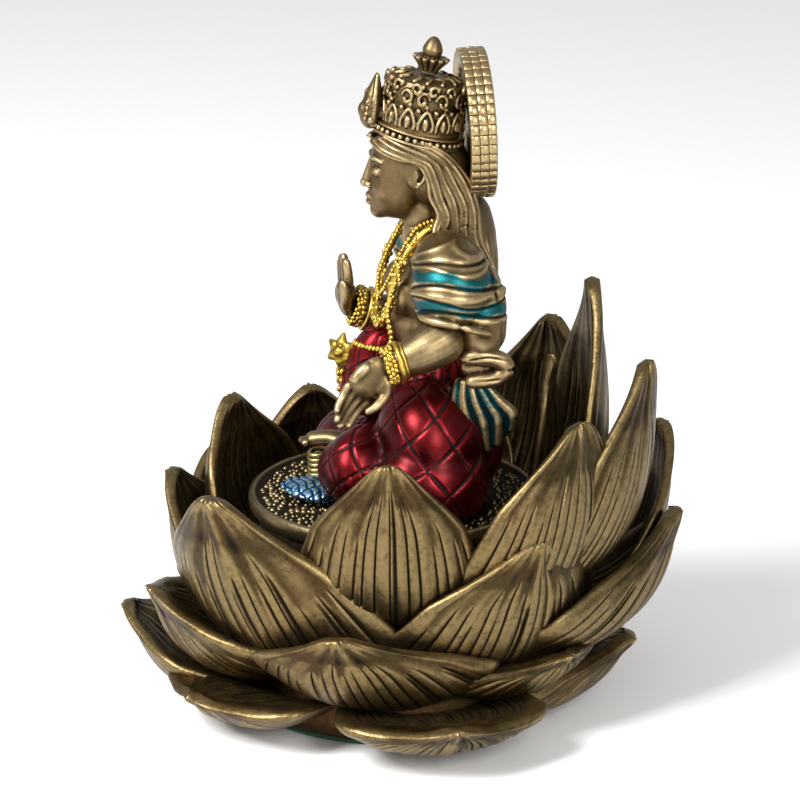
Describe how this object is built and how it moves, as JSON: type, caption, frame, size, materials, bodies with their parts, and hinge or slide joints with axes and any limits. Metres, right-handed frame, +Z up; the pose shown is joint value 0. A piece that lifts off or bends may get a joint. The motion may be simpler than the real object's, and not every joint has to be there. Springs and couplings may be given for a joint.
{
  "type": "hindu deity statue",
  "caption": "Seated goddess figurine in antique bronze resin on a wide open lotus, with a tall crown, a disc halo, painted robes and gold jewellery.",
  "frame": {"origin": "middle of the felt pad's underside, on the surface it stands on", "axes": "+Z up through the figure; the figure faces -Y, and its left hand is on the +X side"},
  "size_m": [0.1183, 0.1262, 0.1543],
  "materials": {
    "antique_bronze": "cold-cast resin with bronze powder, dark patina in the recesses and rubbed highlights",
    "gold_paint": "metallic gold paint on resin",
    "red_paint": "translucent candy red over metallic resin",
    "teal_paint": "translucent teal over bronze-coloured resin, rubbed back to bronze on the folds",
    "blue_paint": "metallic sky blue paint on resin",
    "seed_pod_bronze": "dark bronze with rubbed seed beads",
    "felt": "short-pile felt"
  },
  "bodies": {
    "root": {"felt_pad": "felt", "lotus_core": "antique_bronze", "seed_pod_seat": "seed_pod_bronze", "ground_petal_1": "antique_bronze", "ground_petal_2": "antique_bronze", "ground_petal_3": "antique_bronze", "ground_petal_4": "antique_bronze", "ground_petal_5": "antique_bronze", "ground_petal_6": "antique_bronze", "ground_petal_7": "antique_bronze", "lower_petal_1": "antique_bronze", "lower_petal_2": "antique_bronze", "lower_petal_3": "antique_bronze", "lower_petal_4": "antique_bronze", "lower_petal_5": "antique_bronze", "middle_petal_1": "antique_bronze", "middle_petal_2": "antique_bronze", "middle_petal_3": "antique_bronze", "middle_petal_4": "antique_bronze", "middle_petal_5": "antique_bronze", "middle_petal_6": "antique_bronze", "middle_petal_7": "antique_bronze", "middle_petal_8": "antique_bronze", "inner_petal_1": "antique_bronze", "inner_petal_2": "antique_bronze", "inner_petal_3": "antique_bronze", "inner_petal_4": "antique_bronze", "inner_petal_5": "antique_bronze", "inner_petal_6": "antique_bronze", "inner_petal_7": "antique_bronze", "inner_petal_8": "antique_bronze", "lower_petal_6": "antique_bronze", "back_petal": "antique_bronze", "left_bangle": "gold_paint", "left_bead_bracelet": "gold_paint", "right_bangle": "gold_paint", "right_bead_bracelet": "gold_paint", "flower_garland": "gold_paint", "lower_chain": "gold_paint", "lap_flower": "gold_paint", "left_arm": "antique_bronze", "right_arm": "antique_bronze", "left_sleeve": "antique_bronze", "right_sleeve": "antique_bronze", "left_shawl_fold": "antique_bronze", "right_shawl_fold": "antique_bronze", "left_shawl_tail": "teal_paint", "right_shawl_tail": "teal_paint", "anklet_coils": "gold_paint", "sari_hem": "blue_paint", "front_foot": "antique_bronze", "sari_skirt": "red_paint", "torso": "antique_bronze", "crown_front_jewel": "antique_bronze", "crown_band": "antique_bronze", "crown_cap": "antique_bronze", "crown_finial": "antique_bronze", "halo_disc": "antique_bronze", "head": "antique_bronze", "hair": "antique_bronze"}
  },
  "joints": []
}
